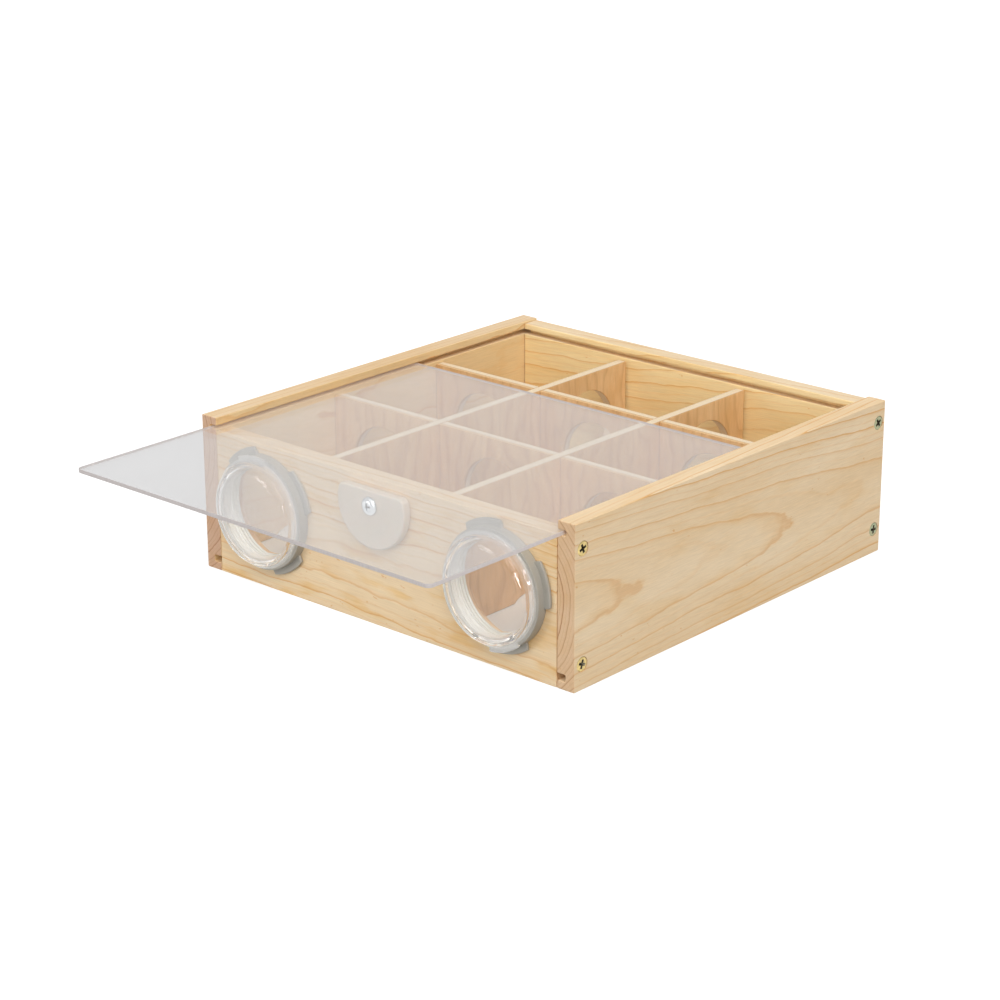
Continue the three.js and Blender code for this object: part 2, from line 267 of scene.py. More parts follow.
class Shader:
    """A material or world under construction, with short calls for the nodes it needs."""

    def __init__(self, name, kind=bpy.data.materials):
        self.owner = kind.new(name)
        self.owner.use_nodes = True
        self.tree = self.owner.node_tree
        self.tree.nodes.clear()
        self.coordinates = self.add("ShaderNodeTexCoord")

    def add(self, kind, *values, **settings):
        """A node with its settings made and the values fed to its first sockets."""
        node = self.tree.nodes.new(kind)
        for key, value in settings.items():
            setattr(node, key, value)
        for socket, value in zip(node.inputs, values):
            self.feed(socket, value)
        return node

    def feed(self, socket, value):
        if isinstance(value, bpy.types.NodeSocket):
            self.tree.links.new(value, socket)
        else:
            socket.default_value = value

    def math(self, operation, *values, clamp=False):
        return self.add("ShaderNodeMath", *values, operation=operation, use_clamp=clamp).outputs[0]

    def vector(self, operation, *values):
        node = self.add("ShaderNodeVectorMath", *values, operation=operation)
        return node.outputs["Value" if operation == "DOT_PRODUCT" else "Vector"]

    def combine(self, *values):
        return self.add("ShaderNodeCombineXYZ", *values).outputs[0]

    def noise(self, vector, scale=1.0, detail=2.0, roughness=0.5):
        node = self.add("ShaderNodeTexNoise", vector)
        node.inputs["Scale"].default_value = scale
        node.inputs["Detail"].default_value = detail
        node.inputs["Roughness"].default_value = roughness
        return node.outputs["Fac"]

    def rescale(self, value, low, high, to_low=0.0, to_high=1.0, smooth=False):
        curve = "SMOOTHSTEP" if smooth else "LINEAR"
        ends = (low, high, to_low, to_high)
        return self.add("ShaderNodeMapRange", value, *ends, interpolation_type=curve).outputs[0]

    def ramp(self, factor, *stops):
        """A grey level that runs through (position, level) stops."""
        node = self.add("ShaderNodeValToRGB", factor)
        elements = node.color_ramp.elements
        while len(elements) < len(stops):
            elements.new(0.5)
        for element, (position, level) in zip(elements, stops):
            element.position = position
            element.color = (level, level, level, 1)
        return node.outputs[0]

    def mix(self, factor, first, second, blend="MIX"):
        node = self.add("ShaderNodeMix", factor, data_type="RGBA", blend_type=blend)
        for socket, value in ((node.inputs[6], first), (node.inputs[7], second)):
            self.feed(socket, (*value, 1) if isinstance(value, tuple) and len(value) == 3 else value)
        return node.outputs[2]

    def varied(self, colour, factor, low, high, dark, light):
        """The colour, made darker or lighter as the factor goes from low to high."""
        level = self.rescale(factor, low, high, dark, light)
        return self.mix(1.0, colour, self.combine(level, level, level), "MULTIPLY")

    def toward(self, direction):
        """How far the surface faces a direction, from -1 to 1."""
        return self.vector("DOT_PRODUCT", self.coordinates.outputs["Normal"], tuple(direction))

    def bump(self, height, distance, strength=1.0):
        node = self.add("ShaderNodeBump")
        node.inputs["Strength"].default_value = strength
        node.inputs["Distance"].default_value = distance * MM
        self.feed(node.inputs["Height"], height)
        return node.outputs[0]

    def surface(self, **values):
        """The Principled shader and the output. Plain numbers and colours go on its own sockets."""
        node = self.add("ShaderNodeBsdfPrincipled")
        for key, value in values.items():
            socket = node.inputs[key.replace("_", " ")]
            if isinstance(value, tuple) and len(value) == 3 and socket.type == "RGBA":
                value = (*value, 1)
            self.feed(socket, value)
        output = self.add("ShaderNodeOutputMaterial")
        self.tree.links.new(node.outputs[0], output.inputs["Surface"])
        return self.owner

    def millimetres(self, origin=(0, 0, 0)):
        """The point on the piece, in millimetres from an origin."""
        moved = self.vector("SUBTRACT", self.coordinates.outputs["Object"], tuple(c * MM for c in origin))
        node = self.add("ShaderNodeVectorMath", moved, operation="SCALE")
        node.inputs["Scale"].default_value = 1 / MM
        return node.outputs[0]


# Woods

PINE = {
    "early": (0.83, 0.625, 0.38),
    "pale": (0.88, 0.705, 0.475),
    "late": (0.79, 0.465, 0.165),
    "edge": (0.71, 0.375, 0.12),
    "end_line": (0.50, 0.235, 0.08),
    "end": (0.80, 0.69, 0.62),
    "resin": (0.95, 0.83, 0.60),
}


# How dark the wood is through one main ring, with a fainter ring halfway
LATEWOOD = (
    (0.0, 0.1), (0.03, 0.0), (0.34, 0.02), (0.41, 0.32), (0.44, 0.32), (0.47, 0.02),
    (0.74, 0.05), (0.88, 0.42), (0.94, 1.0), (0.97, 1.0), (1.0, 0.1),
)

# The noise level above which a resin fleck shows, where the wood has little resin and where it has much
FLECK = {"little": 0.735, "much": 0.68, "blur": 0.065}


def growth_rings(s, stretched, radius, spacing, seed, offset, wave):
    """How dark the wood is at each point of its ring, and how strong that year's line is."""
    slow = s.math("SUBTRACT", s.noise(stretched(110, 38, 0), detail=1.5), 0.5)
    quick = s.math("SUBTRACT", s.noise(stretched(24, 11, 3.7), detail=3), 0.5)
    wavy = s.math("ADD", radius, s.math("MULTIPLY", slow, 6.5 * wave))
    wavy = s.math("ADD", wavy, s.math("MULTIPLY", quick, 2.4 * wave))
    ring = s.math("ADD", s.math("DIVIDE", wavy, spacing), offset)
    late = s.ramp(s.math("FRACT", ring), *LATEWOOD)
    year = s.noise(s.combine(s.math("FLOOR", ring), seed, 0.5), scale=0.73, detail=0)
    return late, s.rescale(year, 0.3, 0.7, 0.45, 1.0)


def grain_details(s, stretched, colour, fibre, resin):
    """Fibres, short pores, warm resin patches and dark flecks over the ringed colour."""
    colour = s.varied(colour, fibre, 0.25, 0.75, 0.90, 1.08)
    pores = s.noise(stretched(9, 0.35, 8), detail=1)
    colour = s.mix(s.rescale(pores, 0.68, 0.78, 0, 0.35), colour, PINE["edge"])
    patch = s.noise(stretched(48, 13, 23), detail=3)
    patch = s.rescale(patch, 0.50, 0.68, 0, resin, smooth=True)
    colour = s.mix(patch, colour, PINE["resin"], "MULTIPLY")
    shows_from = FLECK["little"] + (FLECK["much"] - FLECK["little"]) * resin
    fleck = s.noise(stretched(5, 2.6, 17), detail=2)
    fleck = s.rescale(fleck, shows_from, shows_from + FLECK["blur"], 0, 0.6, smooth=True)
    return s.mix(fleck, colour, PINE["edge"])


def tinted_with_painted_light(s, colour, tints_and_painted_light):
    """Tints the faces that look each way. A direction of None means every face and gives the wood's own
    tint; any other direction paints light or shade on the faces that look that way.
    """
    for direction, tint in tints_and_painted_light:
        amount = 1.0 if direction is None else s.rescale(s.toward(direction), 0.3, 0.7)
        colour = s.mix(amount, colour, tint, "MULTIPLY")
    return colour


def pine(
    name, pith_from, pith_to, spacing, seed,
    offset=0.0, contrast=1.0, wave=1.0, resin=0.3, tints_and_painted_light=(), end=PINE["end"],
):
    """Solid pine with its growth rings around a pith line between two points in millimetres.

    Spacing and offset place the rings, and wave bends them. Contrast sets how dark their lines are, and
    resin how stained the wood is. The tints_and_painted_light are (direction, tint) pairs: a tint with no
    direction is the wood's own, and one with a direction is painted light or shade on the faces that look
    that way. End tints the end grain."""
    s = Shader(name)
    along = (Vector(pith_to) - Vector(pith_from)).normalized()
    across = along.cross(Z).normalized()
    axes = (along, across, along.cross(across))
    point = s.millimetres(pith_from)
    u, v, w = (s.vector("DOT_PRODUCT", point, tuple(axis)) for axis in axes)

    def stretched(length, width, shift):
        """Where to read a noise whose features have this length and width in millimetres."""
        run = s.math("ADD", s.math("MULTIPLY", u, 1 / length), seed + shift)
        return s.combine(run, s.math("MULTIPLY", v, 1 / width), s.math("MULTIPLY", w, 1 / width))

    radius = s.math("SQRT", s.math("ADD", s.math("MULTIPLY", v, v), s.math("MULTIPLY", w, w)))
    late, strong = growth_rings(s, stretched, radius, spacing, seed, offset, wave)
    end_grain = s.rescale(s.math("ABSOLUTE", s.toward(along)), 0.35, 0.8, smooth=True)
    blotch = s.rescale(s.noise(stretched(120, 30, 11), detail=3), 0.35, 0.65)
    ground = s.mix(blotch, PINE["early"], PINE["pale"])
    band = s.mix(s.math("POWER", late, 3.0), PINE["late"], PINE["edge"])
    band = s.mix(end_grain, band, PINE["end_line"])
    line = s.math("MULTIPLY", s.math("MULTIPLY", late, strong), contrast, clamp=True)
    line = s.math("MULTIPLY", line, s.rescale(end_grain, 0, 1, 0.85, 1.0))
    fibre = s.noise(stretched(22, 0.55, 5), detail=4, roughness=0.65)
    colour = grain_details(s, stretched, s.mix(line, ground, band), fibre, resin)
    colour = s.mix(s.math("MULTIPLY", end_grain, 0.85), colour, end, "MULTIPLY")
    height = s.math("ADD", s.math("MULTIPLY", fibre, 0.6), s.math("MULTIPLY", late, 0.4))
    return s.surface(
        Base_Color=tinted_with_painted_light(s, colour, tints_and_painted_light),
        Roughness=s.rescale(fibre, 0.2, 0.8, 0.62, 0.46),
        Specular_IOR_Level=0.42,
        Normal=s.bump(height, 0.12, 0.5),
    )


PLY = {
    "face": (0.80, 0.535, 0.275),
    "face_dark": (0.72, 0.435, 0.19),
    "edge": (0.85, 0.69, 0.48),
    "skin": (0.76, 0.50, 0.25),
    "glue": (0.50, 0.25, 0.09),
}


def plywood(name, thickness_axis, centre, thickness, skins, seed):
    """Plywood with upright face grain. Its edges show a pale core between two skins.

    The skins' thicknesses are given for the low and the high side along the axis."""
    s = Shader(name)
    point = s.millimetres(centre)
    depth = s.vector("DOT_PRODUCT", point, tuple(thickness_axis))
    run = s.vector("DOT_PRODUCT", point, tuple(Z.cross(thickness_axis)))
    height = s.vector("DOT_PRODUCT", point, tuple(Z))

    def stretched(tall, wide, shift):
        return s.combine(
            s.math("MULTIPLY", run, 1 / wide),
            s.math("MULTIPLY", height, 1 / tall),
            s.math("ADD", s.math("MULTIPLY", depth, 0.02), seed + shift),
        )

    warp = s.math("MULTIPLY", s.noise(stretched(70, 24, 0), detail=2), 26.0)
    figure = s.math("FRACT", s.math("ADD", s.math("MULTIPLY", run, 0.09), s.math("MULTIPLY", warp, 0.16)))
    vein = s.ramp(figure, (0.0, 0.1), (0.55, 0.0), (0.86, 0.75), (0.93, 1.0), (1.0, 0.1))
    mottle = s.rescale(s.noise(stretched(34, 13, 4), detail=4, roughness=0.6), 0.32, 0.68)
    face = s.mix(mottle, PLY["face"], PLY["face_dark"])
    face = s.mix(s.math("MULTIPLY", vein, 0.38), face, PLY["glue"])
    fibre = s.noise(stretched(9, 0.5, 9), detail=4, roughness=0.7)
    face = s.varied(face, fibre, 0.25, 0.75, 0.88, 1.08)

    edge = PLY["edge"]
    for direction, skin in zip((1, -1), skins):
        inward = s.math("ADD", thickness / 2, s.math("MULTIPLY", depth, direction))
        outer = s.rescale(inward, skin - 0.12, skin + 0.12, 1.0, 0.0)
        glue = s.rescale(s.math("ABSOLUTE", s.math("SUBTRACT", inward, skin)), 0.08, 0.3, 0.75, 0.0)
        edge = s.mix(outer, edge, PLY["skin"])
        edge = s.mix(glue, edge, PLY["glue"])
    edge = s.varied(edge, s.noise(point, scale=1.6, detail=3), 0.3, 0.7, 0.88, 1.08)

    facing = s.math("ABSOLUTE", s.toward(thickness_axis))
    return s.surface(
        Base_Color=s.mix(s.rescale(facing, 0.5, 0.75, smooth=True), edge, face),
        Roughness=s.rescale(fibre, 0.2, 0.8, 0.66, 0.50),
        Specular_IOR_Level=0.4,
        Normal=s.bump(fibre, 0.1, 0.5),
    )


def floor_board():
    """White-faced hardboard, with a very faint mottle."""
    s = Shader("floor_board")
    point = s.millimetres()
    cloud = s.noise(point, scale=0.03, detail=4)
    colour = s.mix(cloud, (0.84, 0.875, 0.885), (0.88, 0.915, 0.925))
    grain = s.noise(point, scale=0.9, detail=3)
    rough = s.rescale(grain, 0.3, 0.7, 0.34, 0.46)
    return s.surface(Base_Color=colour, Roughness=rough, Normal=s.bump(grain, 0.04, 0.4))


# Plastics and metals


def clear(name, drift, haze, tints, **more):
    """Clear plastic under a glossy coat, with a haze and a tint that drift over it.

    Drift is a noise's scale and detail, and haze is where its roughness starts and ends."""
    s = Shader(name)
    flow = s.noise(s.millimetres(), *drift)
    return s.surface(
        Base_Color=s.mix(flow, *tints),
        Roughness=s.rescale(flow, *haze),
        Coat_Weight=1.0,
        Coat_IOR=1.49,
        **more,
    )


def clear_acrylic():
    """Clear sheet with polished faces and a slight milky haze."""
    return clear(
        "clear_acrylic", (0.02, 3), (0.4, 0.7, 0.0, 0.03), ((0.88, 0.877, 0.882), (0.91, 0.907, 0.912)),
        IOR=1.06, Transmission_Weight=0.84, Coat_Roughness=0.01,
    )


def sawn_edge():
    """The lid's sawn edge: matt, greyish and a little mauve, with fine saw lines."""
    s = Shader("acrylic_edge")
    point = s.millimetres()
    lines = s.noise(s.vector("MULTIPLY", point, (2.2, 2.2, 0.25)), detail=3)
    tone = s.mix(s.rescale(lines, 0.3, 0.7), (0.67, 0.605, 0.59), (0.77, 0.71, 0.695))
    rough = s.rescale(lines, 0.3, 0.7, 0.30, 0.48)
    return s.surface(Base_Color=tone, Roughness=rough, IOR=1.49, Normal=s.bump(lines, 0.04, 0.5))


def clear_plastic():
    """Moulded clear plastic with a trace of haze."""
    return clear(
        "clear_plastic", (0.11, 1), (0.3, 0.7, 0.0, 0.04), ((0.95, 0.95, 0.94), (0.97, 0.97, 0.96)),
        IOR=1.3, Transmission_Weight=0.985, Coat_Roughness=0.02,
    )


def milky_rim():
    """The cap's rim and spigot: the same plastic, but cloudy where it is thick."""
    return clear(
        "clear_rim", (0.11, 1), (0.3, 0.7, 0.06, 0.10), ((0.94, 0.93, 0.91), (0.96, 0.95, 0.93)),
        IOR=1.12, Transmission_Weight=0.80, Coat_Roughness=0.01,
    )


def recess_painted_shade():
    """Painted shade inside a screw's cross recess: dull, near-black metal that stands in for the shadow
    there.
    """
    s = Shader("recess_painted_shade")
    cloud = s.noise(s.millimetres(), scale=1.5, detail=3)
    tone = s.mix(s.rescale(cloud, 0.3, 0.7), (0.05, 0.042, 0.03), (0.12, 0.10, 0.06))
    rough = s.rescale(cloud, 0.3, 0.7, 0.45, 0.6)
    return s.surface(Base_Color=tone, Roughness=rough, Metallic=0.7)


def moulded(name, colour, shade_colour, roughness, **more):
    """Moulded plastic with a fine even texture and a slow change of tone."""
    s = Shader(name)
    point = s.millimetres()
    cloud = s.noise(point, scale=0.05, detail=2)
    grain = s.noise(point, scale=3.5, detail=2)
    tone = s.mix(s.rescale(cloud, 0.3, 0.7), colour, shade_colour)
    rough = s.rescale(grain, 0.3, 0.7, roughness - 0.05, roughness + 0.07)
    return s.surface(Base_Color=tone, Roughness=rough, Normal=s.bump(grain, 0.02, 0.5), **more)


def plated(name, colour, stain, roughness):
    """Plated steel: brushed by handling, with a slight stain in the plating."""
    s = Shader(name)
    point = s.millimetres()
    cloud = s.rescale(s.noise(point, scale=0.55, detail=3), 0.35, 0.65)
    scratch = s.noise(point, scale=7.0, detail=3)
    tone = s.mix(cloud, colour, stain)
    rough = s.rescale(scratch, 0.3, 0.7, roughness - 0.07, roughness + 0.12)
    return s.surface(Base_Color=tone, Roughness=rough, Metallic=1.0, Normal=s.bump(scratch, 0.01, 0.4))


# Boards

SCREW_HOLE = {"play": 0.25, "shank": 2.1, "cone": -2.9, "end": -35.6}


def screw_axis(side):
    """The way out of a side board."""
    return X * side


def screw_hole(node, side):
    """The countersunk hole that clears one side screw."""
    low, high = span(node)
    face = max(abs(low.x), abs(high.x))
    centre = middle(node)
    head = (high.z - low.z) / 2
    mouth, shank, end = head + SCREW_HOLE["play"], SCREW_HOLE["shank"], SCREW_HOLE["end"]
    profile = [
        (0, 2), (mouth, 2), (mouth, -0.35), (shank, SCREW_HOLE["cone"]), (shank, end), (0, end),
    ]
    start = (side * face, centre.y, centre.z)
    return lathe(f"hole_{node}", profile, start, screw_axis(side), HOLE_ROUND)


def screw_nodes(side_name, end=""):
    return [f"side_screw_{side_name}_{place}" for place in SCREW_PLACES if place.startswith(end)]


def floor_groove():
    """The lowest and highest point of the groove that holds the floor panel."""
    low, high = span("floor_panel")
    return low.z - FLOOR_PLAY, high.z + FLOOR_PLAY


def board_profile(inner, outer, bottom, top, grooves):
    """A board's section: grooves are (depth position, lowest, highest) cut into the inner face."""
    points = [(inner, bottom), (outer, bottom), (outer, top), (inner, top)]
    for reach, low, high in sorted(grooves, key=lambda g: -g[1]):
        points += [(inner, high), (reach, high), (reach, low), (inner, low)]
    return points


def side_board(name, side):
    node = f"side_board_{name}"
    low, high = span(node)
    inner = low.x if side > 0 else high.x
    outer = high.x if side > 0 else low.x
    reach = side * LID_GROOVE["reach"]
    grooves = [(reach, LID_GROOVE["low"], LID_GROOVE["high"]), (reach, *floor_groove())]
    outline = board_profile(inner, outer, low.z, high.z, grooves)
    board = prism(f"{node}_fine", outline, "Y", low.y, high.y)
    soften(board, EDGE)
    carve(board, *[screw_hole(screw, side) for screw in screw_nodes(name)])
    return shade(board, weighted=True)


def round_hole(name, radius, rim, front, back, centre, axis, segments=ROUND):
    """A hole bored along an axis from front to back, with the edge broken by the rim at both faces."""
    profile = [
        (0, front - 2), (radius + rim + 2, front - 2), (radius + rim, front), (radius, front + rim),
        (radius, back - rim), (radius + rim, back), (radius + rim + 2, back + 2), (0, back + 2),
    ]
    return lathe(name, profile, centre, axis, segments)


def port_hole(centre):
    low, high = span("front_board")
    return round_hole("port_hole", PORT_RADIUS, 0.5, low.y - centre.y, high.y - centre.y, centre, Y)


def end_board(node, inner_is_back):
    """The front board, whose inner face is at its back, or the back board."""
    low, high = span(node)
    inner = high.y if inner_is_back else low.y
    outer = low.y if inner_is_back else high.y
    floor_low, floor_high = span("floor_panel")
    reach = floor_low.y - FLOOR_GROOVE_PLAY if inner_is_back else floor_high.y + FLOOR_GROOVE_PLAY
    grooves = [(reach, *floor_groove())]
    if not inner_is_back:
        grooves.append((reach, LID_GROOVE["low"], LID_GROOVE["high"]))
    outline = board_profile(inner, outer, low.z, high.z, grooves)
    board = prism(f"{node}_fine", outline, "X", low.x, high.x)
    soften(board, EDGE)
    end = node.split("_")[0]
    tools = [screw_hole(s, side) for name, side in SIDES for s in screw_nodes(name, end)]
    if inner_is_back:
        tools += [port_hole(PORTS[n]) for n, _ in SIDES]
        deep = span("latch_screw")[1].y - low.y + 0.3
        pilot = [(0, -3), (PILOT_RADIUS, -3), (PILOT_RADIUS, deep), (0, deep)]
        tools.append(lathe("pilot", pilot, (LATCH_CENTRE.x, low.y, LATCH_CENTRE.z), Y, HOLE_ROUND))
    carve(board, *tools)
    return shade(board, weighted=True)


def floor_panel():
    low, high = span("floor_panel")
    panel = prism("floor_panel_fine", rectangle(low, high), "Z", low.z, high.z)
    return shade(soften(panel, FLOOR_EDGE, 2), weighted=True)


def sliding_lid():
    low, high = span("sliding_lid")
    outline = rounded(rectangle(low, high), LID["corner"], 8)
    lid = prism("sliding_lid_fine", outline, "Z", low.z, high.z)
    return shade(soften(lid, LID["edge"], 2, 60), weighted=True)


def on_lid_edge(polygon):
    """Whether a face of the lid is upright or chamfered."""
    return abs(polygon.normal.z) < 0.9


# Dividers

LONG_DIVIDERS = ("long_divider_left", "long_divider_right")
CROSS_DIVIDERS = ("cross_divider_front", "cross_divider_rear")


def passage(centre, axis, thickness):
    half = thickness / 2
    return round_hole("passage", PASSAGE_RADIUS, 0.45, -half, half, centre, axis, PASSAGE_ROUND)


def slotted_outline(start, end, bottom, top, slots, from_top):
    """A plate's outline in its own plane, with slots from the top or from the bottom edge."""
    points = [(start, bottom)]
    if not from_top:
        for a, b, depth in slots:
            points += [(a, bottom), (a, depth), (b, depth), (b, bottom)]
    points += [(end, bottom), (end, top)]
    if from_top:
        for a, b, depth in reversed(slots):
            points += [(b, top), (b, depth), (a, depth), (a, top)]
    points.append((start, top))
    return points


def divider(node, crossings, along, thin, from_top, passages):
    """A half-lapped sheet with round passages. Along and thin say which way it runs and which it faces."""
    low, high = span(node)
    lap = (low.z + high.z) / 2 + (-LAP_PLAY if from_top else LAP_PLAY)
    slots = []
    for crossing in crossings:
        a, b = span(crossing)
        slots.append((a[along] - LAP_PLAY, b[along] + LAP_PLAY, lap))
    outline = slotted_outline(low[along], high[along], low.z, high.z, slots, from_top)
    sheet = prism(f"{node}_fine", outline, "XYZ"[thin], low[thin], high[thin])
    soften(sheet, DIVIDER_EDGE, 2)
    axis = (X, Y)[thin]
    carve(sheet, *[passage(centre, axis, high[thin] - low[thin]) for centre in passages])
    return shade(sheet, weighted=True)


def long_divider(node):
    centre = (middle(node).x, FRONT_Y + REAR_PASSAGE["behind_front"], REAR_PASSAGE["height"])
    return divider(node, CROSS_DIVIDERS, 1, 0, False, [centre])


def cross_divider(node):
    places = (PORTS["left"].x, 0.0, PORTS["right"].x)
    centres = [(x, middle(node).y, PASSAGE_HEIGHT) for x in places]
    return divider(node, LONG_DIVIDERS, 0, 1, True, centres)


# Ports

SLEEVE = {"inner": 31.4, "outer": 33.7, "ridges": 5, "ridge": 0.6}
RING = {
    "inner": 34.0, "outer": 35.6, "lip": 31.5, "lip_depth": 1.4,
    "lug": 39.7, "lug_depth": 1.8, "half_tip": 20.0, "half_base": 23.0,
}
RING_TURN = {"left": 31.0, "right": 16.0}
CAP = {
    "rim": 34.0, "front": -10.3, "back": -7.3, "wall": 1.6,
    "spigot": 31.1, "end": -1.0, "slope": (1.25, 1.0),
}
DOME = {"flat": 25.5, "front": -16.0, "base": 32.2, "foot": -10.6, "crown": 0.35}
TAB = {"reach": 36.4, "half": 18.5, "thickness": 2.0, "left": 93.0, "right": -69.0}


def face_centre(name):
    """Where a port's axis meets the front face of the box."""
    return Vector((PORTS[name].x, FRONT_Y, PORTS[name].z))


def port_sleeve(name):
    """A lining tube whose bore steps in and out in rounded ridges."""
    node = f"port_sleeve_{name}"
    low, high = span(node)
    front, back = low.y - FRONT_Y, high.y - FRONT_Y
    inner, outer = SLEEVE["inner"], SLEEVE["outer"]
    profile = [(outer, back), (outer, front + 0.4), (outer - 0.4, front), (inner + 0.4, front)]
    steps = 10 * SLEEVE["ridges"]
    for i in range(steps + 1):
        t = i / steps
        wave = 0.5 - 0.5 * math.cos(2 * math.pi * SLEEVE["ridges"] * t)
        profile.append((inner + SLEEVE["ridge"] * wave, front + 0.4 + (back - front - 0.8) * t))
    profile.append((inner + 0.4, back))
    return shade(lathe(f"{node}_fine", profile, face_centre(name)), 50)


def lug_outline(turn):
    """The grip ring's outline from the front: four raised lugs with short ramps between."""
    points = []
    for lug in range(4):
        centre = turn + 90 * lug
        stretches = (
            (RING["lug"], centre - RING["half_tip"], centre + RING["half_tip"], 14),
            (RING["outer"], centre + RING["half_base"], centre + 90 - RING["half_base"], 16),
        )
        for radius, start, end, steps in stretches:
            for i in range(steps + 1):
                angle = math.radians(start + (end - start) * i / steps)
                points.append((radius * math.cos(angle), radius * math.sin(angle)))
    return points


def port_ring(name):
    """A turned wall with a front lip and four thin grip lugs around its back edge."""
    node = f"port_ring_{name}"
    low, high = span(node)
    centre = face_centre(name)
    front, back = low.y - FRONT_Y, high.y - FRONT_Y
    r, outer, lip, lip_back = RING["inner"], RING["outer"], RING["lip"], front + RING["lip_depth"]
    wall = [
        (lip, front + 0.3), (lip + 0.3, front), (outer - 0.7, front), (outer - 0.2, front + 0.2),
        (outer, front + 0.7), (outer, back), (r, back), (r, lip_back), (lip, lip_back),
    ]
    ring = lathe(f"{node}_fine", wall, centre, Y)
    outline = [(x + centre.x, z + centre.z) for x, z in lug_outline(RING_TURN[name])]
    lugs = prism("lugs", outline, "Y", high.y - RING["lug_depth"], high.y)
    soften(lugs, 0.4, 3, 25)
    bore = [(0, front), (r + 0.3, front), (r + 0.3, back + 1), (0, back + 1)]
    carve(lugs, lathe("bore", bore, centre, Y))
    carve(ring, lugs, operation="UNION")
    return shade(ring, 40, weighted=True)


def dome(flat, front, base, foot, crown, steps=18):
    """A cap's face from its axis outwards: a slight crown, then an elliptical shoulder."""
    points = [(0, front)]
    for i in range(1, 7):
        t = i / 6
        points.append((flat * t, front + crown * t * t))
    top = front + crown
    for i in range(1, steps + 1):
        angle = math.pi / 2 * i / steps
        radius = flat + (base - flat) * math.sin(angle)
        points.append((radius, top + (foot - top) * (1 - math.cos(angle))))
    return points


def sloped_rim(rim, front, across, along):
    """The rim's flat sloping front edge, rounded a little at both ends."""
    start, end = Vector((rim - across, front + 0.04)), Vector((rim - 0.12, front + along))
    held = [tuple(start.lerp(end, t)) for t in (0.0, 0.06, 0.94, 1.0)]
    return [(rim - across - 0.15, front), *held, (rim, front + along + 0.25)]


def port_cap(name):
    """The clear cap: a domed face, a rim, a spigot and one finger tab."""
    node = f"port_cap_{name}"
    centre = face_centre(name)
    wall = CAP["wall"]
    bore = CAP["spigot"] - wall
    inside = dome(DOME["flat"] - wall / 2, DOME["front"] + wall, bore, DOME["foot"] + 1.2, DOME["crown"])
    rim, front, back = CAP["rim"], CAP["front"], CAP["back"]
    profile = [
        *dome(**DOME),
        (DOME["base"] + 0.08, front - 0.12), (DOME["base"] + 0.3, front),
        *sloped_rim(rim, front, *CAP["slope"]),
        (rim, back - 0.4), (rim - 0.12, back - 0.12), (rim - 0.4, back),
        (CAP["spigot"] + 0.2, back), (CAP["spigot"], back + 0.2),
        (CAP["spigot"], CAP["end"] - 0.4), (CAP["spigot"] - 0.4, CAP["end"]),
        (bore, CAP["end"]),
        *reversed(inside),
    ]
    cap = lathe(f"{node}_fine", profile, centre, Y, CAP_ROUND)
    outline = []
    for radius, direction in ((TAB["reach"], 1), (rim - 1.2, -1)):
        for i in range(11):
            angle = math.radians(TAB[name] + direction * TAB["half"] * (2 * i / 10 - 1))
            outline.append((centre.x + radius * math.cos(angle), centre.z + radius * math.sin(angle)))
    tab_front = centre.y + front + 0.3
    tab = prism("tab", outline, "Y", tab_front, tab_front + TAB["thickness"])
    soften(tab, 0.35, 2, 40)
    carve(cap, tab, operation="UNION")
    return shade(cap, 38)


def behind_dome(polygon):
    """Whether a face of a cap is on its rim, spigot or tab."""
    return polygon.center.y / MM - FRONT_Y > DOME["foot"] - 0.05


# Latch and screws

LATCH = {"corner": 3.2, "edge": 1.35, "bore": 2.6, "mouth": 3.4}
SIDE_SCREW = {"sunk": -0.08, "neck": 1.75, "thread": 2.0, "root": 1.35, "pitch": 1.8, "tip": -35}
SIDE_RECESS = {"arm": 2.8, "half": 0.85, "depth": 2.4}
LATCH_SCREW = {"neck": 2.15, "neck_length": 6, "thread": 2.2, "root": 1.5, "pitch": 1.6}
LATCH_RECESS = {"arm": 2.7, "half": 0.6, "depth": 1.9, "turn": 0.12}
RECESS_REACH = {"depth": 2.8, "radius": 3.0}


def in_recess(node, axis, shallow):
    """A test for the faces inside a screw's cross recess, deeper than the shallow depth: these get the
    painted recess shade.
    """
    low, high = span(node)
    centre = middle(node)
    head = high if sum(axis) > 0 else low
    face = centre + axis * (head - centre).dot(axis)

    def inside(polygon):
        offset = polygon.center / MM - face
        depth = -offset.dot(axis)
        radial = offset + axis * depth
        inward = polygon.normal.dot(radial) < 0.3 * radial.length
        near = radial.length < RECESS_REACH["radius"]
        return inward and near and shallow < depth < RECESS_REACH["depth"]

    return inside


def cross_recess(centre, axis, arm, half, depth, turn=0.0):
    """A tapered cross for a screwdriver. The axis points out of the head."""
    side = Z if abs(axis.z) < 0.5 else X
    across = axis.cross(side)
    cross = [
        (arm, -half), (arm, half), (half, half), (half, arm), (-half, arm), (-half, half),
        (-arm, half), (-arm, -half), (-half, -half), (-half, -arm), (half, -arm), (half, -half),
    ]
    spin = Matrix.Rotation(turn, 2)
    bm = bmesh.new()
    loops = []
    for along, scale in ((0.6, 1.12), (-depth * 0.55, 0.72), (-depth, 0.30)):
        loop = []
        for point in cross:
            p = spin @ Vector(point) * scale
            loop.append(bm.verts.new(Vector(centre) + axis * along + side * p.x + across * p.y))
        loops.append(loop)
    count = len(cross)
    for a, b in zip(loops, loops[1:]):
        for i in range(count):
            bm.faces.new([a[i], a[(i + 1) % count], b[(i + 1) % count], b[i]])
    bm.faces.new(loops[0])
    bm.faces.new(loops[-1])
    return finish_mesh("recess", bm)


def threaded(radius, root, start, end, pitch):
    """Profile points of a screw thread's section, from start to end along the axis."""
    points = []
    count = int(abs(end - start) / pitch)
    step = (end - start) / count
    for i in range(count):
        here = start + step * i
        points += [(root, here + step * 0.15), (radius, here + step * 0.5), (root, here + step * 0.85)]
    return points


